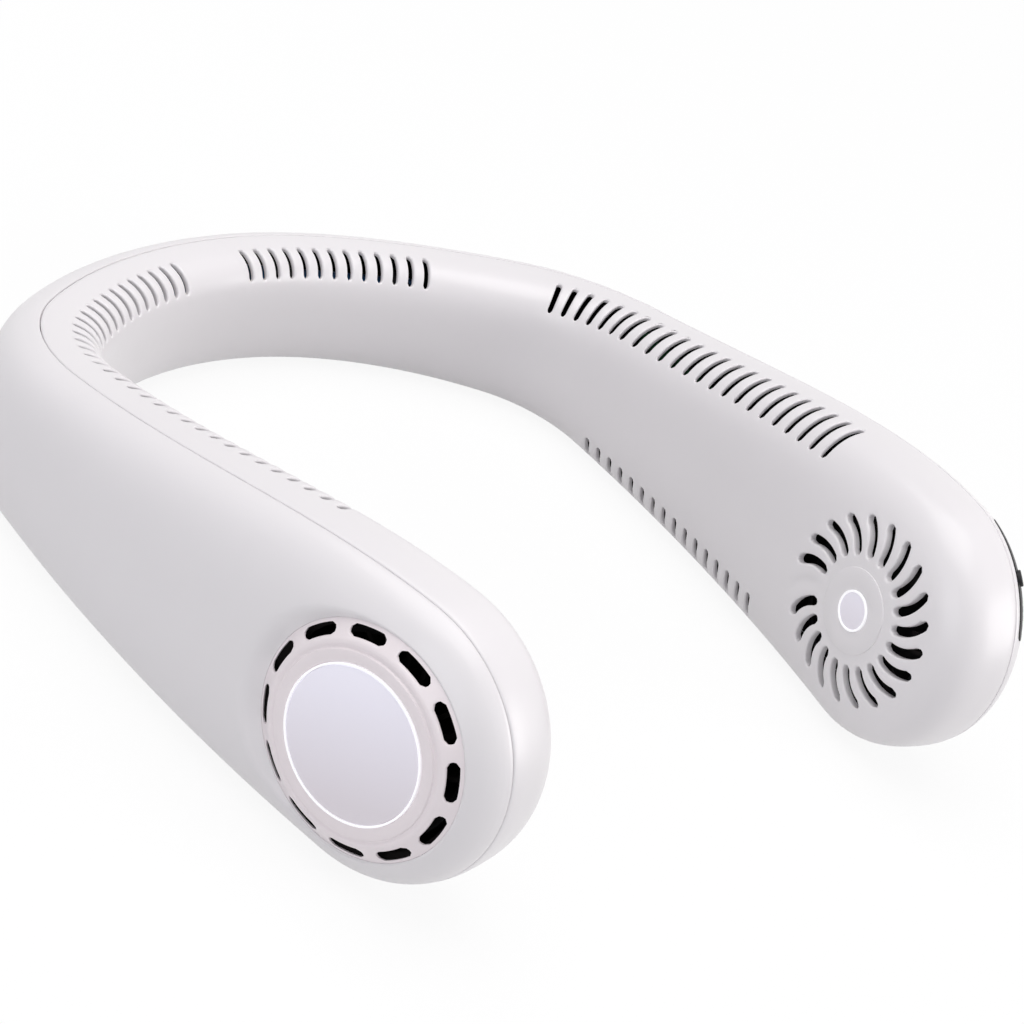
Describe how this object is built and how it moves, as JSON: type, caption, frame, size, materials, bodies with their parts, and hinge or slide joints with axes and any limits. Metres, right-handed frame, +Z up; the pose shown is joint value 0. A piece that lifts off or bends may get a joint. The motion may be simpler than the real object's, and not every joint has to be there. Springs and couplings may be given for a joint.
{
  "type": "neck fan",
  "caption": "Rigid U-shaped band worn round the neck, with a motor blower in each round end, swirl and ring intake grilles, rows of air outlets, a power button and a charging socket.",
  "frame": {"origin": "middle of the bounding box on the plane the band lies on", "axes": "+X to the end with the button, +Y to the back of the neck, +Z up from the plane the band lies on; the open ends point along -Y"},
  "size_m": [0.201, 0.2, 0.0616],
  "materials": {
    "casing_white": "satin white moulded plastic",
    "cover_white": "satin white moulded plastic",
    "plate_lavender": "smooth pale lavender grey",
    "ring_white": "gloss white",
    "strip_dark": "gloss black",
    "button_dark": "matte black",
    "light_clear": "clear moulded light pipe",
    "impeller_dark": "matte dark moulded plastic",
    "motor_steel": "plated pressed steel",
    "shaft_steel": "ground steel",
    "screw_steel": "zinc plated",
    "socket_steel": "drawn plated steel",
    "tube_brass": "turned brass",
    "bearing_bronze": "sintered bronze",
    "coil_copper": "enamelled copper wire",
    "magnet_dark": "dark bonded magnet",
    "cell_wrap": "shrink-wrapped metal can",
    "foam_dark": "soft foam",
    "board_green": "solder mask",
    "wire_sleeve": "soft black sleeve",
    "plug_cream": "moulded nylon"
  },
  "bodies": {
    "casing": {"outer_shell": "casing_white", "inner_shell": "casing_white", "right_intake_cover": "cover_white", "left_intake_cover": "cover_white", "right_cover_plate": "plate_lavender", "left_cover_plate": "plate_lavender", "right_cover_plate_ring": "ring_white", "left_cover_plate_ring": "ring_white", "right_grille_plate": "plate_lavender", "left_grille_plate": "plate_lavender", "right_grille_plate_ring": "ring_white", "left_grille_plate_ring": "ring_white", "right_motor_base": "motor_steel", "left_motor_base": "motor_steel", "right_motor_screws": "screw_steel", "left_motor_screws": "screw_steel", "right_motor_board": "board_green", "left_motor_board": "board_green", "right_bearing_tube": "tube_brass", "left_bearing_tube": "tube_brass", "right_bearings": "bearing_bronze", "left_bearings": "bearing_bronze", "right_stator_core": "motor_steel", "left_stator_core": "motor_steel", "right_stator_coils": "coil_copper", "left_stator_coils": "coil_copper", "right_battery_cell": "cell_wrap", "left_battery_cell": "cell_wrap", "battery_saddles": "foam_dark", "main_board": "board_green", "board_screws": "screw_steel", "charging_socket": "socket_steel", "control_strip": "strip_dark", "tact_switch": "button_dark", "switch_board": "board_green", "indicator_lights": "light_clear", "wiring": "wire_sleeve", "right_motor_plug": "plug_cream", "left_motor_plug": "plug_cream"},
    "right_blower": {"right_impeller": "impeller_dark", "right_rotor_cup": "motor_steel", "right_magnet_ring": "magnet_dark", "right_shaft": "shaft_steel"},
    "left_blower": {"left_impeller": "impeller_dark", "left_rotor_cup": "motor_steel", "left_magnet_ring": "magnet_dark", "left_shaft": "shaft_steel"},
    "button": {"power_button": "button_dark"}
  },
  "joints": [
    {"name": "right_blower_spin", "type": "hinge", "parent": "casing", "child": "right_blower", "pos_m": [0.0779, -0.06896, 0.0306], "axis": [0.9785, -0.2062, 0], "continuous": true},
    {"name": "left_blower_spin", "type": "hinge", "parent": "casing", "child": "left_blower", "pos_m": [-0.0779, -0.06896, 0.0306], "axis": [-0.9785, -0.2062, 0], "continuous": true},
    {"name": "power_press", "type": "slide", "parent": "casing", "child": "button", "axis": [-0.5597, 0.5668, -0.6045], "range_m": [0, 0.0005], "stiffness_N_per_m": 400}
  ]
}
